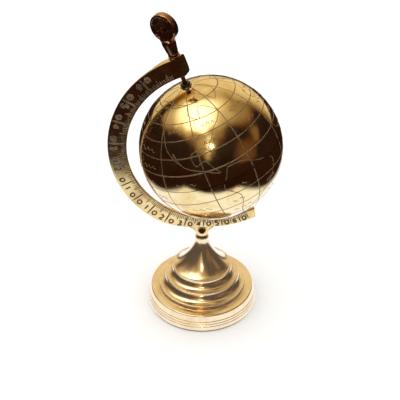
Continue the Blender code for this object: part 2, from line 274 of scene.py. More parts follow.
DIGITS = {
    "0": [[(0.36, 0.92), (0.08, 0.74), (0, 0.46), (0.1, 0.18), (0.38, 0.04), (0.66, 0.2),
           (0.74, 0.48), (0.64, 0.76), (0.36, 0.92)]],
    "1": [[(0.2, 0.82), (0.4, 1), (0.4, 0)]],
    "2": [[(0.04, 0.8), (0.32, 1), (0.62, 0.78), (0.5, 0.44), (0, 0), (0.7, 0)]],
    "3": [[(0.06, 0.92), (0.4, 1), (0.62, 0.76), (0.32, 0.54), (0.66, 0.28), (0.38, 0),
           (0.02, 0.1)]],
    "4": [[(0.5, 0), (0.5, 1), (0, 0.32), (0.74, 0.32)]],
    "5": [[(0.62, 1), (0.14, 1), (0.08, 0.56), (0.4, 0.62), (0.64, 0.32), (0.4, 0), (0.02, 0.12)]],
    "6": [[(0.58, 0.96), (0.2, 0.74), (0.02, 0.34), (0.3, 0), (0.62, 0.22), (0.5, 0.5),
           (0.1, 0.44)]],
}


def on_globe(latitude, longitude):
    """Unit direction from the globe's middle; longitude 0 is the lean side, -90 the front."""
    lat = math.radians(latitude)
    lon = math.radians(longitude)
    return (math.cos(lat) * (math.cos(lon) * ACROSS + math.sin(lon) * BEHIND) + math.sin(lat) * POLE)


def globe_path(track):
    """Dense directions along a track of (latitude, longitude)."""
    path = []
    for (lat_a, lon_a), (lat_b, lon_b) in zip(track[:-1], track[1:]):
        length = math.hypot(lat_b - lat_a, (lon_b - lon_a) * math.cos(math.radians(lat_a)))
        parts = max(1, int(math.ceil(length / TRACK_STEP)))
        for part in range(parts):
            share = part / parts
            path.append(on_globe(lat_a + (lat_b - lat_a) * share, lon_a + (lon_b - lon_a) * share))
    path.append(on_globe(*track[-1]))
    return path


COASTS = [  # rough outlines of the land, (latitude, longitude)
    [(60, -165), (70, -158), (70, -128), (68, -108), (66, -92), (58, -93), (52, -80), (61, -77),
     (60, -66), (52, -56), (46, -62), (41, -71), (35, -76), (30, -81), (25, -80), (30, -86),
     (28, -97), (19, -96), (21, -88), (15, -84), (9, -80), (14, -92), (20, -106), (31, -114),
     (23, -110), (34, -120), (45, -124), (55, -132), (60, -146), (60, -165)],
    [(11, -74), (10, -62), (4, -51), (-5, -35), (-23, -42), (-35, -57), (-42, -64), (-54, -68),
     (-40, -73), (-18, -71), (-5, -81), (4, -77), (11, -74)],
    [(35, -6), (37, 10), (31, 20), (31, 32), (12, 43), (11, 51), (-4, 40), (-20, 35), (-34, 24),
     (-18, 12), (4, 8), (5, -6), (15, -17), (35, -6)],
    [(36, -6), (43, -9), (52, 5), (62, 5), (70, 20), (68, 42), (73, 80), (76, 105), (70, 160),
     (62, 172), (58, 155), (43, 132), (38, 122), (22, 113), (9, 105), (14, 99), (3, 103),
     (22, 90), (8, 78), (24, 66), (14, 45), (30, 35), (37, 27), (44, 12), (41, 2), (36, -6)],
    [(-12, 131), (-17, 140), (-11, 143), (-27, 153), (-38, 147), (-33, 133), (-35, 117),
     (-22, 114), (-12, 131)],
    [(60, -45), (70, -54), (78, -70), (82, -35), (70, -23), (60, -45)],
]
PARALLEL_STEP = 13.2
PARALLEL_COUNT = 5                             # each side of the seam
MERIDIAN_COUNT = 10
FRONT_MERIDIAN = -91.0                         # longitude of the meridian that faces the front


def wave_tracks(latitude, longitude, dice):
    """A short row of wave marks, as maps use for open water."""
    tracks = []
    stretch = 1.0 / math.cos(math.radians(latitude))
    for mark in range(dice.choice((2, 3, 3))):
        left = longitude + mark * 5.6 * stretch
        rise = dice.uniform(-0.4, 0.4)
        size = dice.uniform(0.9, 1.15)
        tracks.append([(latitude + rise + 1.1 * size * math.sin(math.pi * step / 3.0),
                        left + step * 0.72 * size * stretch) for step in range(7)])
    return tracks


def hill_tracks(latitude, longitude, dice):
    """A small group of chevrons, as maps use for high ground."""
    tracks = []
    stretch = 1.0 / math.cos(math.radians(latitude))
    for mark in range(3):
        left = longitude + mark * 3.4 * stretch
        foot = latitude + dice.uniform(-0.5, 0.5)
        tall = dice.uniform(2.4, 3.4)
        tracks.append([(foot, left), (foot + tall, left + 1.3 * stretch),
                       (foot, left + 2.6 * stretch)])
    return tracks


def inside_land(latitude, longitude):
    """Whether a place lies within one of the outlines."""
    for coast in COASTS:
        inside = False
        for (lat_a, lon_a), (lat_b, lon_b) in zip(coast[:-1], coast[1:]):
            if (lat_a > latitude) != (lat_b > latitude):
                crossing = lon_a + (lon_b - lon_a) * (latitude - lat_a) / (lat_b - lat_a)
                if longitude < crossing:
                    inside = not inside
        if inside:
            return True
    return False


def map_marks(dice):
    """Waves on open water and hills on land, one group in most cells of the grid."""
    tracks = []
    for row in range(-PARALLEL_COUNT, PARALLEL_COUNT):
        latitude = (row + 0.42) * PARALLEL_STEP
        if abs(latitude) > 58.0:
            continue
        for column in range(MERIDIAN_COUNT):
            longitude = FRONT_MERIDIAN + (column + dice.uniform(0.18, 0.42)) * 360.0 / MERIDIAN_COUNT
            longitude = (longitude + 180.0) % 360.0 - 180.0
            if dice.random() < 0.2:
                continue
            maker = hill_tracks if inside_land(latitude, longitude) else wave_tracks
            tracks += maker(latitude, longitude, dice)
    return tracks


def globe_tracks():
    """Every engraved line of the globe as (track, half width, closed)."""
    dice = random.Random(11)
    lines = []
    for row in range(-PARALLEL_COUNT, PARALLEL_COUNT + 1):
        if row == 0:
            continue
        latitude = row * PARALLEL_STEP + dice.uniform(-0.8, 0.8)
        wave = dice.uniform(0.0, 6.3)
        track = [(latitude + 0.35 * math.sin(3 * math.radians(lon) + wave), lon)
                 for lon in range(-180, 180, 2)]
        lines.append((track, dice.choice(PARALLEL_CUTS), True))
    for index in range(MERIDIAN_COUNT):
        longitude = FRONT_MERIDIAN + 360.0 * index / MERIDIAN_COUNT
        wave = dice.uniform(0.0, 6.3)
        for first, last in ((84.0, SEAM_GAP), (-SEAM_GAP, -84.0)):
            track = [(lat, longitude + (0.6 * math.sin(math.radians(3 * lat) + wave)))
                     for lat in np.linspace(first, last, 44)]
            lines.append((track, MERIDIAN_CUT, False))
        overrun = [(lat, longitude + 1.5 + 0.1 * (60.0 - lat)) for lat in np.linspace(72, 44, 12)]
        if dice.random() < 0.35:
            lines.append((overrun, OVERRUN_CUT, False))
    for track in map_marks(dice):
        lines.append((track, MARK_CUT, False))
    for coast in COASTS:
        curved = [tuple(point) for point in smooth_curve(coast, 6)]
        lines += [(part, COAST_CUT, False) for part in split_at_seam(curved)]
    return lines


def split_at_seam(track):
    """Parts of a track on each side of the seam, stopped short of it."""
    parts = []
    current = []
    for (lat_a, lon_a), (lat_b, lon_b) in zip(track[:-1], track[1:]):
        for step in range(2):
            share = step / 2.0
            lat = lat_a + (lat_b - lat_a) * share
            lon = lon_a + (lon_b - lon_a) * share
            crossed = bool(current) and (lat > 0.0) != (current[-1][0] > 0.0)
            if abs(lat) < SEAM_GAP or crossed:
                if len(current) > 2:
                    parts.append(current)
                current = []
            if abs(lat) >= SEAM_GAP:
                current.append((lat, lon))
    current.append(track[-1])
    if len(current) > 2:
        parts.append(current)
    return parts


def dented(direction):
    """Slight unevenness of hand-spun sheet, in millimetres, never outwards."""
    x, y, z = direction
    swell = (math.sin(5.1 * x + 2.3 * z + 0.7) * math.sin(4.3 * y + 1.9) +
             0.6 * math.sin(8.7 * z - 3.1 * y + 0.4) * math.sin(7.3 * x + 1.1) +
             0.35 * math.sin(15.0 * x + 9.0 * y) * math.sin(13.0 * z + 2.0))
    return -0.06 + 0.036 * swell


def make_globe_half(name, node, sign):
    """One engraved shell with its wall, polar hole and cut lines."""
    segments = 192
    latitudes = [sign * lat for lat in np.linspace(0.2, 85.2, 66)]
    outer = [(lat, GLOBE_RADIUS) for lat in latitudes]
    inner = [(lat, SHELL_INNER) for lat in reversed(latitudes[::6])]
    points = []
    rings = []
    for lat, radius in outer + inner:
        rings.append(list(range(len(points), len(points) + segments)))
        for step in range(segments):
            direction = on_globe(lat, 360.0 * step / segments)
            reach = radius + (dented(direction) if radius > SHELL_INNER else 0.0)
            points.append(CENTRE + direction * reach)
    faces = []
    for index, first in enumerate(rings):
        faces += ring_faces(first, rings[(index + 1) % len(rings)], segments)
    slots = [0] * len(faces)
    for track, half_width, closed in globe_tracks():
        middle = sum(lat for lat, _ in track) / len(track)
        if middle * sign <= 0.0:
            continue
        directions = globe_path(track)
        if closed:
            directions = directions[:-1]
        path = [CENTRE + d * (GLOBE_RADIUS + dented(d)) for d in directions]
        ribbon(path, directions, half_width, closed, points, faces, slots)
    build(name, points, faces, [globe_brass, cut_edge, cut_floor], "globe", (node,), slots)


# ---------------------------------------------------------------- arc

def arc_world(radius, depth, angle):
    """Point on the arc at an angle from straight up, turning towards -X."""
    return np.array([CENTRE[0] - radius * math.sin(angle), depth,
                     CENTRE[2] + radius * math.cos(angle)])


def arc_outer(degrees):
    """Outer radius of the arc at an angle from straight up."""
    return ARC_OUTER + (ARC_LOWER - ARC_OUTER) * ease(degrees, 145.0, 184.0)


def arc_section(degrees):
    """Flat front with eased edges; square back at the top end, half-round back elsewhere."""
    round_share = ease(degrees, 24.0, 36.0)
    exponent = 0.45 + 0.55 * round_share
    start = 0.3 - 3.0 * round_share
    front = ARC_FRONT
    outer = arc_outer(degrees)
    points = [(ARC_INNER, front + 0.3), (ARC_INNER + 0.09, front + 0.09), (ARC_INNER + 0.3, front)]
    points += [(radius, front) for radius in np.linspace(ARC_INNER + 1.0, outer - 1.0, 7)]
    points += [(outer - 0.3, front), (outer - 0.09, front + 0.09), (outer, front + 0.3)]
    middle = 0.5 * (ARC_INNER + outer)
    half = 0.5 * (outer - ARC_INNER)
    for angle in np.linspace(0.0, math.pi, 19):
        wide = math.copysign(abs(math.cos(angle)) ** exponent, math.cos(angle))
        points.append((middle + half * wide,
                       start + (ARC_BACK - start) * max(math.sin(angle), 0.0) ** exponent))
    return points


def arc_top_angle(radius, depth):
    """Angle of the square-cut top end, which slants to the back."""
    share = (depth - ARC_FRONT) / (ARC_BACK - ARC_FRONT)
    return TILT - math.asin((1.7 + 2.9 * share) / radius)


def arc_foot_angle(radius):
    """Angle of the lower end, cut slightly askew."""
    share = (radius - ARC_INNER) / (ARC_OUTER - ARC_INNER)
    return math.radians(213.4 - 5.2 * share)


def arc_uneven(radius, angle):
    """Filed unevenness of the scale face, in millimetres, never outwards."""
    return (0.03 + 0.016 * math.sin(9.0 * angle + radius * 0.25)
            + 0.014 * math.sin(23.0 * angle - radius * 0.5))


def make_arc():
    """Arc, flared root, holes and engraved scale."""
    first = [arc_world(r, d, arc_top_angle(r, d)) for r, d in arc_section(0.0)]
    last = [arc_world(r, d, arc_foot_angle(r)) for r, d in arc_section(213.0)]
    rings = [first]
    for degrees in np.linspace(21.5, 206.0, 124):
        angle = math.radians(degrees)
        ring = []
        for radius, depth in arc_section(degrees):
            sunk = depth + arc_uneven(radius, angle) if depth < ARC_FRONT + 0.01 else depth
            ring.append(arc_world(radius, sunk, angle))
        rings.append(ring)
    rings.append(last)
    points = [point for ring in rings for point in ring]
    faces = loft_faces(len(rings), len(first), False)
    arc = build("arc_with_scale", points, faces, [arc_brass], None, sharp=32.0)
    combine(arc, root_solid(), 'UNION')
    holes = ((1.85, 40, 62, True), (1.5, -62, -40, True), (2.35, 45, 56.6, False))
    for radius, low, high, polar in holes:
        outline = [(0.0, high), (radius, high), (radius, low), (0.0, low)]
        drill_points, drill_faces = revolve(outline, 40, polar)
        combine(arc, build("drill", drill_points, drill_faces, [arc_brass], None), 'DIFFERENCE')
    add_scale(arc)
    settle(arc, "stand", ("meridian_arc",))


def root_solid():
    """Flared root under the arc."""
    knots = [(49.3, 3.6, 3.6), (49.5, 3.82, 3.82), (51.0, 4.2, 3.85), (52.2, 4.9, 3.6),
             (53.3, 5.95, 3.25), (54.3, 7.5, 2.98), (55.3, 9.1, 2.8)]
    curve = smooth_curve(knots, 4) + [np.array([57.4, 9.1, 2.5])]
    segments = 64
    points = []
    for height, wide, deep in curve:
        for step in range(segments):
            angle = 2.0 * math.pi * step / segments
            across = wide * math.cos(angle)
            climb = 0.06 * across * ease(height, 49.6, 55.3)
            points.append((across, deep * math.sin(angle), height + climb))
    faces = loft_faces(len(curve), segments, True)
    return build("root", points, faces, [arc_brass], None)


def scale_tens():
    """Angles from the polar axis, in degrees, of the ten marks, with the number each one bears."""
    tens = [(ZERO_AT + TENS_AFTER * step, step) for step in range(7)]
    tens += [(FIRST_BEFORE - TENS_BEFORE * step, step + 1) for step in range(6)]
    return sorted(tens)


def add_scale(arc):
    """Cuts of the scale: long, middle and short marks and the numbers beside each long mark."""
    dice = random.Random(5)
    points = []
    faces = []
    slots = []
    tens = scale_tens()

    def cut(track, half_width):
        path = []
        for radius, degrees in track:
            turn = math.radians(degrees + SCALE_START)
            path.append(arc_world(radius, ARC_FRONT + arc_uneven(radius, turn), turn))
        ribbon(path, [np.array([0.0, -1.0, 0.0])] * len(path), half_width, False,
               points, faces, slots, 0.03, 0.006)

    def straight(high, degrees, half_width):
        lean = dice.uniform(-0.25, 0.25)
        cut([(radius, degrees + lean * (radius - TICK_FOOT) / (high - TICK_FOOT))
             for radius in np.linspace(TICK_FOOT, high, 5)], half_width)

    marks = [degrees for degrees, _ in tens]
    for degrees, after in zip(marks, marks[1:] + [marks[-1] + TENS_AFTER]):
        straight(arc_outer(degrees + SCALE_START) - 0.5, degrees, TEN_CUT)
        for part in range(1, 10):
            here = degrees + (after - degrees) * part / 10.0
            if here > LAST_TICK:
                break
            if part == 5:
                straight(FIVE_TOP, here + dice.uniform(-0.1, 0.1), FIVE_CUT)
            else:
                high = UNIT_TOP + dice.uniform(-0.4, 0.3)
                straight(high, here + dice.uniform(-0.12, 0.12), UNIT_CUT)
    for part in range(1, 13):
        straight(50.8 if part % 5 == 0 else 49.2, marks[0] - 1.4 * part, UNIT_CUT)
    for degrees, number in tens:
        aside = DIGIT_ASIDE if degrees >= ZERO_AT else -DIGIT_ASIDE
        digit_at(str(number), degrees - aside, dice, cut)
        digit_at("0", degrees + aside, dice, cut)
    cut([(50.6 + 0.22 * math.cos(turn), 188.2 + 0.26 * math.sin(turn))
         for turn in np.linspace(0.0, 2.0 * math.pi, 9)], 0.16)
    join_cuts(arc, points, faces, slots)


def join_cuts(piece, points, faces, slots):
    """Adds cut lines to a piece, with their own two materials."""
    mesh = bpy.data.meshes.new("cuts")
    mesh.from_pydata([tuple(float(value) * MM for value in point) for point in points], [], faces)
    piece.data.materials.clear()
    for material in (arc_brass, scale_edge, scale_fill):
        piece.data.materials.append(material)
        mesh.materials.append(material)
    mesh.polygons.foreach_set("material_index", slots)
    merged = bmesh.new()
    merged.from_mesh(piece.data)
    for face in merged.faces:
        face.material_index = 0
    merged.from_mesh(mesh)
    bmesh.ops.recalc_face_normals(merged, faces=merged.faces)
    merged.to_mesh(piece.data)
    merged.free()
    bpy.data.meshes.remove(mesh)
    piece.data.shade_smooth()
    piece.data.set_sharp_from_angle(angle=math.radians(32.0))


def digit_at(digit, degrees, dice, cut):
    """One hand-stamped digit with its top towards the globe."""
    height = DIGIT_HEIGHT * dice.uniform(0.94, 1.06)
    lean = dice.uniform(-0.12, 0.12)
    base = min(arc_outer(degrees + SCALE_START) - 0.8, 54.9)
    for stroke in DIGITS[digit]:
        track = []
        for x, y in dense(stroke, 3):
            turn = (x - 0.37 + lean * (y - 0.5)) * height / base
            track.append((base - y * height, degrees + math.degrees(turn)))
        cut(track, DIGIT_CUT)


def dense(stroke, parts):
    """The stroke with each straight run divided into parts."""
    points = []
    for (xa, ya), (xb, yb) in zip(stroke[:-1], stroke[1:]):
        points += [(xa + (xb - xa) * part / parts, ya + (yb - ya) * part / parts)
                   for part in range(parts)]
    return points + [stroke[-1]]


# ---------------------------------------------------------------- thumb screw

def make_thumb_screw():
    """Coin-shaped head with ribbed faces on a tapering stem with a turned pivot."""
    stem = [(0.0, 67.5)] + smooth_curve(
        [(1.4, 67.45), (2.4, 67.2), (3.2, 66.7), (3.68, 65.7), (3.58, 64.2), (3.2, 61.5), (2.85, 59.6),
         (2.72, 59.0)], 5)
    stem += [(2.9, 58.8), (2.95, 58.6), (2.85, 58.3), (2.5, 58.2), (1.5, 58.2), (1.5, 45.6),
             (1.45, 45.4), (1.15, 45.05), (1.15, 36.2), (0.9, 35.85), (0.0, 35.8)]
    points, faces = revolve(stem, 72, True)
    screw = build("coin_head_screw", points, faces, [bronze], None, sharp=40.0)
    points, faces = head_solid()
    head = build("head", points, faces, [bronze], None)
    points, faces = web_solid()
    combine(head, build("web", points, faces, [bronze], None), 'UNION')
    combine(screw, head, 'UNION')
    tidy(screw.data, 40.0)
    settle(screw, "thumb_screw", ("thumb_screw",))


def head_axes():
    """Directions across the head and out of its face."""
    facing = -math.cos(HEAD_TURN) * BEHIND - math.sin(HEAD_TURN) * ACROSS
    return np.cross(facing, POLE), facing


def web_solid():
    """Web that carries the head's outline down into the stem."""
    wide_way, facing = head_axes()
    knots = [(64.6, 3.25, 3.15, 0.0), (65.8, 3.85, 2.95, 0.04), (67.0, 4.7, 2.45, 0.12),
             (68.3, 5.65, 2.0, 0.3), (69.6, 6.3, 1.75, 0.5), (71.0, 6.4, 1.5, 0.66)]
    rings = smooth_curve(knots, 4)
    segments = 72
    points = []
    for height, wide, deep, shift in rings:
        for step in range(segments):
            angle = 2.0 * math.pi * step / segments
            side = math.copysign(abs(math.cos(angle)) ** 0.9, math.cos(angle))
            points.append(CENTRE + height * POLE + shift * ACROSS + wide * side * wide_way
                          + deep * math.sin(angle) * facing)
    return points, loft_faces(len(rings), segments, True)


def rib_height(across, up):
    """Height of the pressed ribs on the head's face, with a faint cross pattern."""
    ribs = abs(((across - 0.12 * up) / RIB_PITCH) % 1.0 - 0.5) * 2.0
    cross = abs(((up + 0.4 * across) / CROSS_PITCH) % 1.0 - 0.5) * 2.0
    return RIB_HEIGHT * (1.0 - ribs) + CROSS_HEIGHT * cross


def head_solid():
    """The head as rings out from the middle of one face, over the rim, to the middle of the other."""
    wide_way, facing = head_axes()
    middle = CENTRE + HEAD_CENTRE * POLE + HEAD_SHIFT * ACROSS
    face_edge = HEAD_FACE_EDGE
    radii = list(np.linspace(0.25, face_edge, 27))
    out = HEAD_RADIUS
    half = HEAD_HALF
    quarter = [(face_edge + 0.12, half - 0.55), (face_edge + 0.3, half - 0.2), (face_edge + 0.55, half),
               (out - 0.75, half), (out - 0.4, half - 0.12), (out - 0.15, half - 0.38),
               (out - 0.03, half - 0.75)]
    rim = quarter + [(out, 0.0)] + [(radius, -depth) for radius, depth in reversed(quarter)]
    outline = [(radius, 1) for radius in radii] + rim + [(radius, -1) for radius in reversed(radii)]
    segments = 144
    points = [middle + facing * (half - 0.75)]
    rings = [[0]]
    for index, (radius, depth) in enumerate(outline):
        on_face = index < len(radii) or index >= len(outline) - len(radii)
        ring = []
        for step in range(segments):
            angle = 2 * math.pi * step / segments
            across = radius * math.cos(angle)
            up = radius * math.sin(angle)
            rise = depth
            if on_face:
                fade = min(1.0, max(0.0, (face_edge - radius) / 0.4))
                rise = depth * (half - 0.95 + rib_height(across, up) * fade)
            ring.append(len(points))
            points.append(middle + across * wide_way + up * POLE + facing * rise)
        rings.append(ring)
    rings.append([len(points)])
    points.append(middle - facing * (half - 0.75))
    faces = []
    for first, second in zip(rings[:-1], rings[1:]):
        faces += ring_faces(first, second, segments)
    return points, faces


# ---------------------------------------------------------------- foot

def lip(radius, height):
    """Low band with eased edges and a fine undercut below it."""
    points = round_part((radius - 0.45, height + 0.2), 0.45, 105, 0, 9)
    points += [(radius, height - 0.1), (radius, height - 0.45)]
    points += round_part((radius - 0.3, height - 0.6), 0.3, 0, -75, 6)
    return points + [(radius - 0.75, height - 0.98), (radius - 1.05, height - 1.1),
                     (radius - 1.1, height - 1.28), (radius - 0.85, height - 1.5)]


def rim_radius(height):
    """Radius of the rim's slightly barrelled side."""
    share = (10.3 - height) / 7.7
    return 31.75 + 1.95 * share + 0.12 * math.sin(math.pi * share)


def foot_outline():
    """Fine outline of the turned foot."""
    outline = [(2.35, 47.6), (3.7, 47.6), (3.95, 47.5), (4.05, 47.25)]
    outline += smooth_curve([(4.08, 46.6), (4.15, 45.2), (4.5, 43.4), (5.3, 40.9), (6.5, 38.2),
                             (8.2, 35.3), (10.4, 32.3), (13.0, 29.4), (15.2, 27.4), (16.9, 26.25)], 6)
    for radius, height in LIPS:
        outline += lip(radius, height)
        following = (radius + 3.5, height - 5.2) if radius < 25.0 else (30.55, 11.25)
        drop = height - 1.5 - following[1]
        reach = following[0] - radius + 0.8
        outline += smooth_curve([(radius - 0.62, height - 1.75),
                                 (radius - 0.8 + 0.3 * reach, height - 1.5 - 0.55 * drop),
                                 (radius - 0.8 + 0.62 * reach, height - 1.5 - 0.86 * drop),
                                 following], 5)
    outline += round_part((30.9, 10.45), 0.8, 95, 12, 8)
    for height in np.linspace(10.2, 2.6, 20):
        outline.append((rim_radius(height), height))
        for groove in RIM_GROOVES:
            if height - 0.4 < groove <= height:
                outline += [(rim_radius(groove), groove + 0.17), (rim_radius(groove) - 0.32, groove),
                            (rim_radius(groove), groove - 0.17)]
    outline = [point for index, point in enumerate(outline)
               if index == 0 or tuple(point) != tuple(outline[index - 1])]
    return outline + [(33.76, 2.1), (33.74, 1.6), (33.5, 1.32), (31.2, 1.3), (30.6, 4.0),
                      (30.0, 7.6), (27.5, 9.0), (24.0, 9.6), (19.4, 15.2), (14.8, 20.8),
                      (9.6, 25.6), (7.2, 28.0), (2.35, 28.0)]


# ---------------------------------------------------------------- materials

PATCH_SCALE = 70.0                             # tarnish patches, as noise in metres


def start_material(name):
    """A material with its node tree and its shader."""
    material = bpy.data.materials.new(name)
    material.use_nodes = True
    tree = material.node_tree
    shader = tree.nodes["Principled BSDF"]
    return material, tree, shader


def add(tree, kind, **values):
    """A node with some of its input sockets set."""
    node = tree.nodes.new(kind)
    for key, value in values.items():
        node.inputs[key.replace("_", " ")].default_value = value
    return node


def noise(tree, vector, scale, detail=3.0, rough=0.5, distortion=0.0):
    """Noise texture in metres."""
    node = add(tree, "ShaderNodeTexNoise", Scale=scale, Detail=detail, Roughness=rough,
               Distortion=distortion)
    tree.links.new(vector, node.inputs["Vector"])
    return node.outputs["Fac"]


def ramp(tree, value, stops):
    """Colour ramp through (position, colour) stops."""
    node = tree.nodes.new("ShaderNodeValToRGB")
    elements = node.color_ramp.elements
    elements[0].position, elements[0].color = stops[0]
    elements[1].position, elements[1].color = stops[-1]
    for position, colour in stops[1:-1]:
        element = elements.new(position)
        element.color = colour
    tree.links.new(value, node.inputs["Fac"])
    return node.outputs["Color"]


def spread(tree, value, low, high):
    """Maps a noise value onto a range."""
    node = add(tree, "ShaderNodeMapRange", From_Min=0.3, From_Max=0.7, To_Min=low, To_Max=high)
    tree.links.new(value, node.inputs["Value"])
    return node.outputs["Result"]


def axis_lines(tree, polar):
    """Coordinates that are constant round an axis, so noise in them makes turning marks."""
    where = tree.nodes.new("ShaderNodeTexCoord").outputs["Object"]
    mapping = tree.nodes.new("ShaderNodeMapping")
    if polar:
        shift = add(tree, "ShaderNodeVectorMath")
        shift.operation = 'SUBTRACT'
        shift.inputs[1].default_value = tuple(CENTRE * MM)
        tree.links.new(where, shift.inputs[0])
        tree.links.new(shift.outputs["Vector"], mapping.inputs["Vector"])
        mapping.inputs["Rotation"].default_value = (0.0, TILT, 0.0)
    else:
        tree.links.new(where, mapping.inputs["Vector"])
    parts = tree.nodes.new("ShaderNodeSeparateXYZ")
    tree.links.new(mapping.outputs["Vector"], parts.inputs["Vector"])
    flat = tree.nodes.new("ShaderNodeCombineXYZ")
    tree.links.new(parts.outputs["X"], flat.inputs["X"])
    tree.links.new(parts.outputs["Y"], flat.inputs["Y"])
    length = tree.nodes.new("ShaderNodeVectorMath")
    length.operation = 'LENGTH'
    tree.links.new(flat.outputs["Vector"], length.inputs[0])
    rings = tree.nodes.new("ShaderNodeCombineXYZ")
    tree.links.new(length.outputs["Value"], rings.inputs["X"])
    tree.links.new(parts.outputs["Z"], rings.inputs["Y"])
    return where, rings.outputs["Vector"]


def brass(name, bright, dull, low, high, turning, polar, marks=0.12, metallic=1.0):
    """Polished brass: patchy tarnish, uneven gloss, hairline scratches and turning marks."""
    material, tree, shader = start_material(name)
    where, rings = axis_lines(tree, polar)
    patch = noise(tree, where, PATCH_SCALE, 5.0, 0.6, 0.4)
    colour = ramp(tree, patch, [(0.34, (*dull, 1.0)), (0.56, (*bright, 1.0))])
    tree.links.new(colour, shader.inputs["Base Color"])
    shader.inputs["Metallic"].default_value = metallic
    smear = noise(tree, where, PATCH_SCALE * 2.2, 4.0, 0.65)
    tree.links.new(spread(tree, smear, low, high), shader.inputs["Roughness"])
    lines = noise(tree, rings, turning, 2.0, 0.6)
    grain = noise(tree, where, 2600.0, 2.0, 0.6)
    mix = tree.nodes.new("ShaderNodeMath")
    mix.operation = 'MULTIPLY_ADD'
    tree.links.new(grain, mix.inputs[0])
    mix.inputs[1].default_value = 0.35
    tree.links.new(lines, mix.inputs[2])
    bump = add(tree, "ShaderNodeBump", Strength=marks, Distance=0.00003)
    tree.links.new(mix.outputs["Value"], bump.inputs["Height"])
    tree.links.new(bump.outputs["Normal"], shader.inputs["Normal"])
    return material


def plain_metal(name, first, second, low, high, scale, metallic=1.0):
    """Small metal parts: two tones, uneven gloss and a fine machined texture."""
    material, tree, shader = start_material(name)
    where = tree.nodes.new("ShaderNodeTexCoord").outputs["Object"]
    patch = noise(tree, where, scale, 4.0, 0.6)
    tree.links.new(ramp(tree, patch, [(0.35, (*first, 1.0)), (0.65, (*second, 1.0))]),
                   shader.inputs["Base Color"])
    shader.inputs["Metallic"].default_value = metallic
    tree.links.new(spread(tree, noise(tree, where, scale * 3, 3.0), low, high), shader.inputs["Roughness"])
    bump = add(tree, "ShaderNodeBump", Strength=0.2, Distance=0.00004)
    tree.links.new(noise(tree, where, scale * 12, 3.0), bump.inputs["Height"])
    tree.links.new(bump.outputs["Normal"], shader.inputs["Normal"])
    return material


def felt_material():
    """Short-piled felt."""
    material, tree, shader = start_material("pad_felt")
    where = tree.nodes.new("ShaderNodeTexCoord").outputs["Object"]
    fibres = noise(tree, where, 1500.0, 6.0, 0.7)
    tree.links.new(ramp(tree, fibres, [(0.3, (0.02, 0.05, 0.025, 1)), (0.7, (0.07, 0.15, 0.08, 1))]),
                   shader.inputs["Base Color"])
    shader.inputs["Roughness"].default_value = 0.95
    shader.inputs["Sheen Weight"].default_value = 0.5
    bump = add(tree, "ShaderNodeBump", Strength=0.6, Distance=0.0003)
    tree.links.new(fibres, bump.inputs["Height"])
    tree.links.new(bump.outputs["Normal"], shader.inputs["Normal"])
    return material


globe_brass = brass("globe_brass", (0.84, 0.63, 0.31), (0.68, 0.46, 0.17), 0.07, 0.16, 5200.0, True)
arc_brass = brass("arc_brass", (0.78, 0.55, 0.23), (0.56, 0.34, 0.12), 0.11, 0.22, 4200.0, True, 0.22)
foot_brass = brass("foot_brass", (0.84, 0.64, 0.38), (0.76, 0.54, 0.29), 0.12, 0.2, 3600.0, False, 0.25,
                   metallic=0.9)
cut_edge = plain_metal("cut_edge", (0.62, 0.46, 0.25), (0.84, 0.68, 0.44), 0.35, 0.5, 400.0, 0.5)
cut_floor = plain_metal("cut_floor", (0.20, 0.12, 0.05), (0.34, 0.21, 0.10), 0.5, 0.7, 400.0)
scale_edge = plain_metal("scale_edge", (0.58, 0.42, 0.25), (0.92, 0.74, 0.52), 0.35, 0.5, 400.0, 0.4)
scale_fill = plain_metal("scale_fill", (0.02, 0.015, 0.01), (0.16, 0.09, 0.04), 0.5, 0.7, 160.0, 0.3)
bronze = plain_metal("dark_bronze", (0.19, 0.07, 0.042), (0.48, 0.25, 0.14), 0.14, 0.3, 260.0)
blackened = plain_metal("blackened_metal", (0.015, 0.012, 0.01), (0.06, 0.045, 0.03), 0.3, 0.5, 300.0, 0.8)
steel = plain_metal("turned_steel", (0.42, 0.41, 0.39), (0.62, 0.61, 0.58), 0.22, 0.4, 300.0)
small_brass = plain_metal("small_brass", (0.55, 0.36, 0.16), (0.78, 0.56, 0.28), 0.15, 0.3, 300.0)
felt = felt_material()


# ---------------------------------------------------------------- pieces

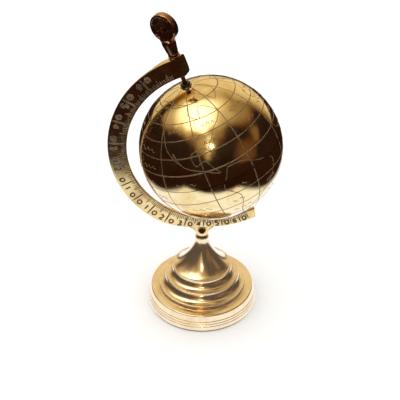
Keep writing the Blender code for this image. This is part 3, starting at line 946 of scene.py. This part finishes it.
def make_small_parts():
    """Turned washers, bushes, pins and rings with eased edges."""
    washer = [(1.5, 41.4), (2.55, 41.4), (2.75, 41.3), (2.8, 41.1), (2.8, 40.8), (2.75, 40.6), (2.55, 40.5),
              (1.5, 40.5)]
    turned("north_thrust_washer", washer, 64, blackened, "globe", "north_washer")
    turned("south_thrust_washer", [(r, -h) for r, h in washer], 64, blackened, "globe", "south_washer")
    bush = [(1.5, 40.2), (2.7, 40.2), (2.93, 40.1), (3.0, 39.9), (3.0, 37.8), (5.0, 37.8), (5.0, 36.4),
            (3.0, 36.4), (3.0, 34.2), (2.8, 34.0), (1.5, 34.0)]
    turned("north_bearing_bush", bush, 64, small_brass, "globe", "north_bush")
    turned("south_bearing_bush", [(r, -h) for r, h in bush], 64, small_brass, "globe", "south_bush")
    pin = [(0.0, -35.6), (0.85, -35.6), (1.15, -35.9), (1.15, -41.7), (2.4, -41.7), (2.6, -41.9),
           (2.6, -45.7), (2.45, -45.9), (1.2, -45.9), (1.2, -51.5), (1.0, -51.65), (0.0, -51.7)]
    turned("lower_pivot_pin", pin, 64, steel, "stand", "south_pivot_pin")
    ring = [(1.85, 57.85), (3.05, 57.85), (3.24, 57.75), (3.3, 57.55), (3.3, 57.35), (3.24, 57.15),
            (3.05, 57.05), (1.85, 57.05)]
    turned("stem_washer", ring, 64, small_brass, "screw_washer", "thumb_screw_washer")
    spacer = [(2.35, 49.0), (3.3, 49.0), (3.46, 48.9), (3.5, 48.7), (3.5, 48.2), (3.46, 48.0), (3.3, 47.9),
              (2.35, 47.9)]
    turned("neck_spacer", spacer, 96, blackened, "stand", "neck_ring", polar=False)
    pad = [(0.0, 0.98), (32.6, 0.98), (32.85, 0.9), (32.98, 0.7), (33.0, 0.4), (32.95, 0.12), (32.8, 0.0),
           (0.0, 0.0)]
    turned("felt_pad", pad, 160, felt, "stand", "foot_pad", polar=False)
    turned("turned_foot", foot_outline(), 192, foot_brass, "stand", "foot", polar=False, sharp=50.0)


make_globe_half("globe_north", "upper_shell", 1.0)
make_globe_half("globe_south", "lower_shell", -1.0)
make_arc()
make_thumb_screw()
make_small_parts()
for node, material in (("joint_band", small_brass), ("foot_screw", steel), ("foot_screw_washer", steel)):
    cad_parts[node].data.materials.clear()
    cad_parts[node].data.materials.append(material)


# ---------------------------------------------------------------- stage, light and camera

def joined(tree, operation, first, second):
    """Sum or product of two node values."""
    node = tree.nodes.new("ShaderNodeMath")
    node.operation = operation
    tree.links.new(first, node.inputs[0])
    tree.links.new(second, node.inputs[1])
    return node.outputs["Value"]


PAINTED_REFLECTION_SHEET = (-0.105, -0.145, 0.125, 0.5)           # painted reflection: patch of floor that glows to reflection rays for the brass to mirror: low x, y and high x, y
PAINTED_REFLECTION_EDGE = 0.012                             # softness of its edges


def between(tree, value, low, high, soft):
    """1 between two values and 0 outside, with soft edges."""
    rise = add(tree, "ShaderNodeMapRange", From_Min=low - soft, From_Max=low + soft)
    fall = add(tree, "ShaderNodeMapRange", From_Min=high + soft, From_Max=high - soft)
    for node in (rise, fall):
        tree.links.new(value, node.inputs["Value"])
    return joined(tree, 'MULTIPLY', rise.outputs["Result"], fall.outputs["Result"])


def make_stage():
    """Pale floor; to reflection rays it glows instead, a painted reflection: a bright sheet near the object
    on a dark brown ground, which is all the brass mirrors of it.
    """
    reach = 6.0
    mesh = bpy.data.meshes.new("floor")
    mesh.from_pydata([(-reach, -reach, 0), (reach, -reach, 0), (reach, reach, 0), (-reach, reach, 0)],
                     [], [(0, 1, 2, 3)])
    material, tree, shader = start_material("floor_paper_with_painted_reflection")
    shader.inputs["Base Color"].default_value = (0.96, 0.96, 0.955, 1.0)
    shader.inputs["Roughness"].default_value = 0.95
    shader.inputs["Specular IOR Level"].default_value = 0.0
    parts = tree.nodes.new("ShaderNodeSeparateXYZ")
    tree.links.new(tree.nodes.new("ShaderNodeTexCoord").outputs["Object"], parts.inputs["Vector"])
    sides = between(tree, parts.outputs["X"], PAINTED_REFLECTION_SHEET[0], PAINTED_REFLECTION_SHEET[2], PAINTED_REFLECTION_EDGE)
    ends = between(tree, parts.outputs["Y"], PAINTED_REFLECTION_SHEET[1], PAINTED_REFLECTION_SHEET[3], PAINTED_REFLECTION_EDGE)
    sheet = joined(tree, 'MULTIPLY', sides, ends)
    # painted reflection: reflection rays see the floor glow bluish white inside the sheet and dark brown
    # outside it
    painted_reflection = tree.nodes.new("ShaderNodeEmission")
    tone = ramp(tree, sheet, [(0.0, (0.017, 0.006, 0.0035, 1.0)), (1.0, (0.76, 0.83, 1.0, 1.0))])
    tree.links.new(tone, painted_reflection.inputs["Color"])
    painted_reflection.inputs["Strength"].default_value = 1.6
    choose = tree.nodes.new("ShaderNodeMixShader")
    tree.links.new(tree.nodes.new("ShaderNodeLightPath").outputs["Is Glossy Ray"], choose.inputs["Fac"])
    tree.links.new(shader.outputs["BSDF"], choose.inputs[1])
    tree.links.new(painted_reflection.outputs["Emission"], choose.inputs[2])
    tree.links.new(choose.outputs["Shader"], tree.nodes["Material Output"].inputs["Surface"])
    mesh.materials.append(material)
    floor = bpy.data.objects.new("floor", mesh)
    bpy.context.scene.collection.objects.link(floor)


# Soft areas of the studio: azimuth (0 towards the front, 90 to the right), elevation, angle of the
# full core and of the outer edge in degrees, and brightness.
STUDIO = (
    ("softbox", -78.0, 68.0, 4.0, 36.0, 1.5), ("softbox_middle", -62.0, 66.0, 1.0, 22.0, 1.7),
    ("softbox_front", -34.0, 63.0, 1.0, 17.0, 1.0), ("softbox_tail", -150.0, 72.0, 6.0, 34.0, 0.6),
    ("left_wall", -108.0, 44.0, 6.0, 27.0, 0.6), ("front_high", -18.0, 60.0, 5.0, 36.0, 0.42),
    ("ceiling", 40.0, 84.0, 5.0, 34.0, 0.4), ("backdrop", 180.0, 6.0, 34.0, 60.0, 0.95),
    ("back_right", 112.0, 62.0, 8.0, 36.0, 0.35), ("front_glow", -10.0, 30.0, 3.0, 19.0, 0.34),
    ("strip_low", -5.0, 14.0, 0.5, 6.0, 0.5), ("strip_middle", -4.0, 24.0, 0.5, 6.0, 0.7),
    ("strip_high", -4.0, 34.0, 0.5, 6.5, 0.8), ("strip_top", -4.0, 45.0, 0.5, 8.0, 0.6),
    ("right_wall", 58.0, 12.0, 3.0, 24.0, 0.13), ("right_door", 84.0, 22.0, 2.0, 12.0, 0.2),
)
LEVELS = 3.0                                   # brightness at the top of the tone ramp
TONES = (  # warm and dim between the lights, white in them
    (0.0, (0.006, 0.0025, 0.0018, 1.0)), (0.04, (0.05, 0.02, 0.007, 1.0)),
    (0.12, (0.125, 0.092, 0.045, 1.0)), (0.28, (0.285, 0.245, 0.155, 1.0)),
    (0.5, (0.52, 0.49, 0.41, 1.0)), (1.0, (1.0, 0.98, 0.93, 1.0)),
)


def make_world():
    """White to the camera, evenly pale to the floor, a studio with a dark front to the brass."""
    world = bpy.data.worlds.new("studio")
    bpy.context.scene.world = world
    world.use_nodes = True
    tree = world.node_tree
    tree.nodes.clear()
    plain = tree.nodes.new("ShaderNodeTexCoord").outputs["Generated"]
    wobble = tree.nodes.new("ShaderNodeTexNoise")
    wobble.inputs["Scale"].default_value = 2.6
    wobble.inputs["Detail"].default_value = 2.0
    tree.links.new(plain, wobble.inputs["Vector"])
    bent = tree.nodes.new("ShaderNodeVectorMath")
    bent.operation = 'MULTIPLY_ADD'
    tree.links.new(wobble.outputs["Color"], bent.inputs[0])
    bent.inputs[1].default_value = (0.3, 0.3, 0.3)
    tree.links.new(plain, bent.inputs[2])
    centred = tree.nodes.new("ShaderNodeVectorMath")
    centred.operation = 'SUBTRACT'
    tree.links.new(bent.outputs["Vector"], centred.inputs[0])
    centred.inputs[1].default_value = (0.15, 0.15, 0.15)
    unit = tree.nodes.new("ShaderNodeVectorMath")
    unit.operation = 'NORMALIZE'
    tree.links.new(centred.outputs["Vector"], unit.inputs[0])
    total = None
    for _, azimuth, elevation, core, edge, bright in STUDIO:
        total = studio_area(tree, unit.outputs["Vector"], total, azimuth, elevation, core, edge, bright)
    studio = tree.nodes.new("ShaderNodeBackground")
    tree.links.new(ramp(tree, total, list(TONES)), studio.inputs["Color"])
    studio.inputs["Strength"].default_value = LEVELS
    pale = tree.nodes.new("ShaderNodeBackground")
    pale.inputs["Color"].default_value = (1.0, 1.0, 1.0, 1.0)
    pale.inputs["Strength"].default_value = 1.12
    choose = tree.nodes.new("ShaderNodeMixShader")
    path = tree.nodes.new("ShaderNodeLightPath")
    tree.links.new(path.outputs["Is Glossy Ray"], choose.inputs["Fac"])
    tree.links.new(pale.outputs["Background"], choose.inputs[1])
    tree.links.new(studio.outputs["Background"], choose.inputs[2])
    output = tree.nodes.new("ShaderNodeOutputWorld")
    tree.links.new(choose.outputs["Shader"], output.inputs["Surface"])


def studio_area(tree, direction, total, azimuth, elevation, core, edge, bright):
    """Adds one soft round area of light, seen in the brass only."""
    turn = math.radians(azimuth)
    rise = math.radians(elevation)
    dot = tree.nodes.new("ShaderNodeVectorMath")
    dot.operation = 'DOT_PRODUCT'
    dot.inputs[1].default_value = (math.sin(turn) * math.cos(rise), -math.cos(turn) * math.cos(rise),
                                   math.sin(rise))
    tree.links.new(direction, dot.inputs[0])
    fade = add(tree, "ShaderNodeMapRange", From_Min=math.cos(math.radians(edge)),
               From_Max=math.cos(math.radians(core)), To_Min=0.0, To_Max=bright / LEVELS)
    fade.interpolation_type = 'SMOOTHSTEP'
    tree.links.new(dot.outputs["Value"], fade.inputs["Value"])
    if total is None:
        return fade.outputs["Result"]
    return joined(tree, 'ADD', total, fade.outputs["Result"])


def make_light(name, place_at, aim, size, power, colour=(1.0, 1.0, 1.0)):
    """Rectangular soft light."""
    data = bpy.data.lights.new(name, 'AREA')
    data.shape = 'RECTANGLE'
    data.size, data.size_y = size
    data.energy = power
    data.color = colour
    lamp = bpy.data.objects.new(name, data)
    lamp.location = place_at
    aim_vector = Vector(aim) - Vector(place_at)
    lamp.rotation_euler = aim_vector.to_track_quat('-Z', 'Y').to_euler()
    bpy.context.scene.collection.objects.link(lamp)
    return lamp


def make_camera():
    """Camera on the foot's axis, looking down at the object from the front."""
    data = bpy.data.cameras.new("camera")
    data.sensor_width = 36.0
    data.lens = 66.8
    data.clip_start = 0.01
    data.clip_end = 50.0
    camera = bpy.data.objects.new("camera", data)
    camera.location = (-0.0012, -0.3538, 0.3172)
    aim = Vector((-0.0012, 0.0, 0.0730)) - camera.location
    camera.rotation_euler = aim.to_track_quat('-Z', 'Y').to_euler()
    bpy.context.scene.collection.objects.link(camera)
    bpy.context.scene.camera = camera


make_stage()
make_world()
overhead = make_light("overhead", (-0.3, -0.1, 1.2), (0.0, 0.0, 0.1), (1.2, 1.2), 1.2, (1.0, 0.98, 0.95))
overhead.visible_glossy = False
make_light("lamp_by_camera", (0.0, -0.40, 0.36), (0.0, 0.0, 0.1), (0.02, 0.02), 0.16, (1.0, 0.93, 0.75))
make_camera()
bpy.context.scene.view_settings.view_transform = 'Standard'
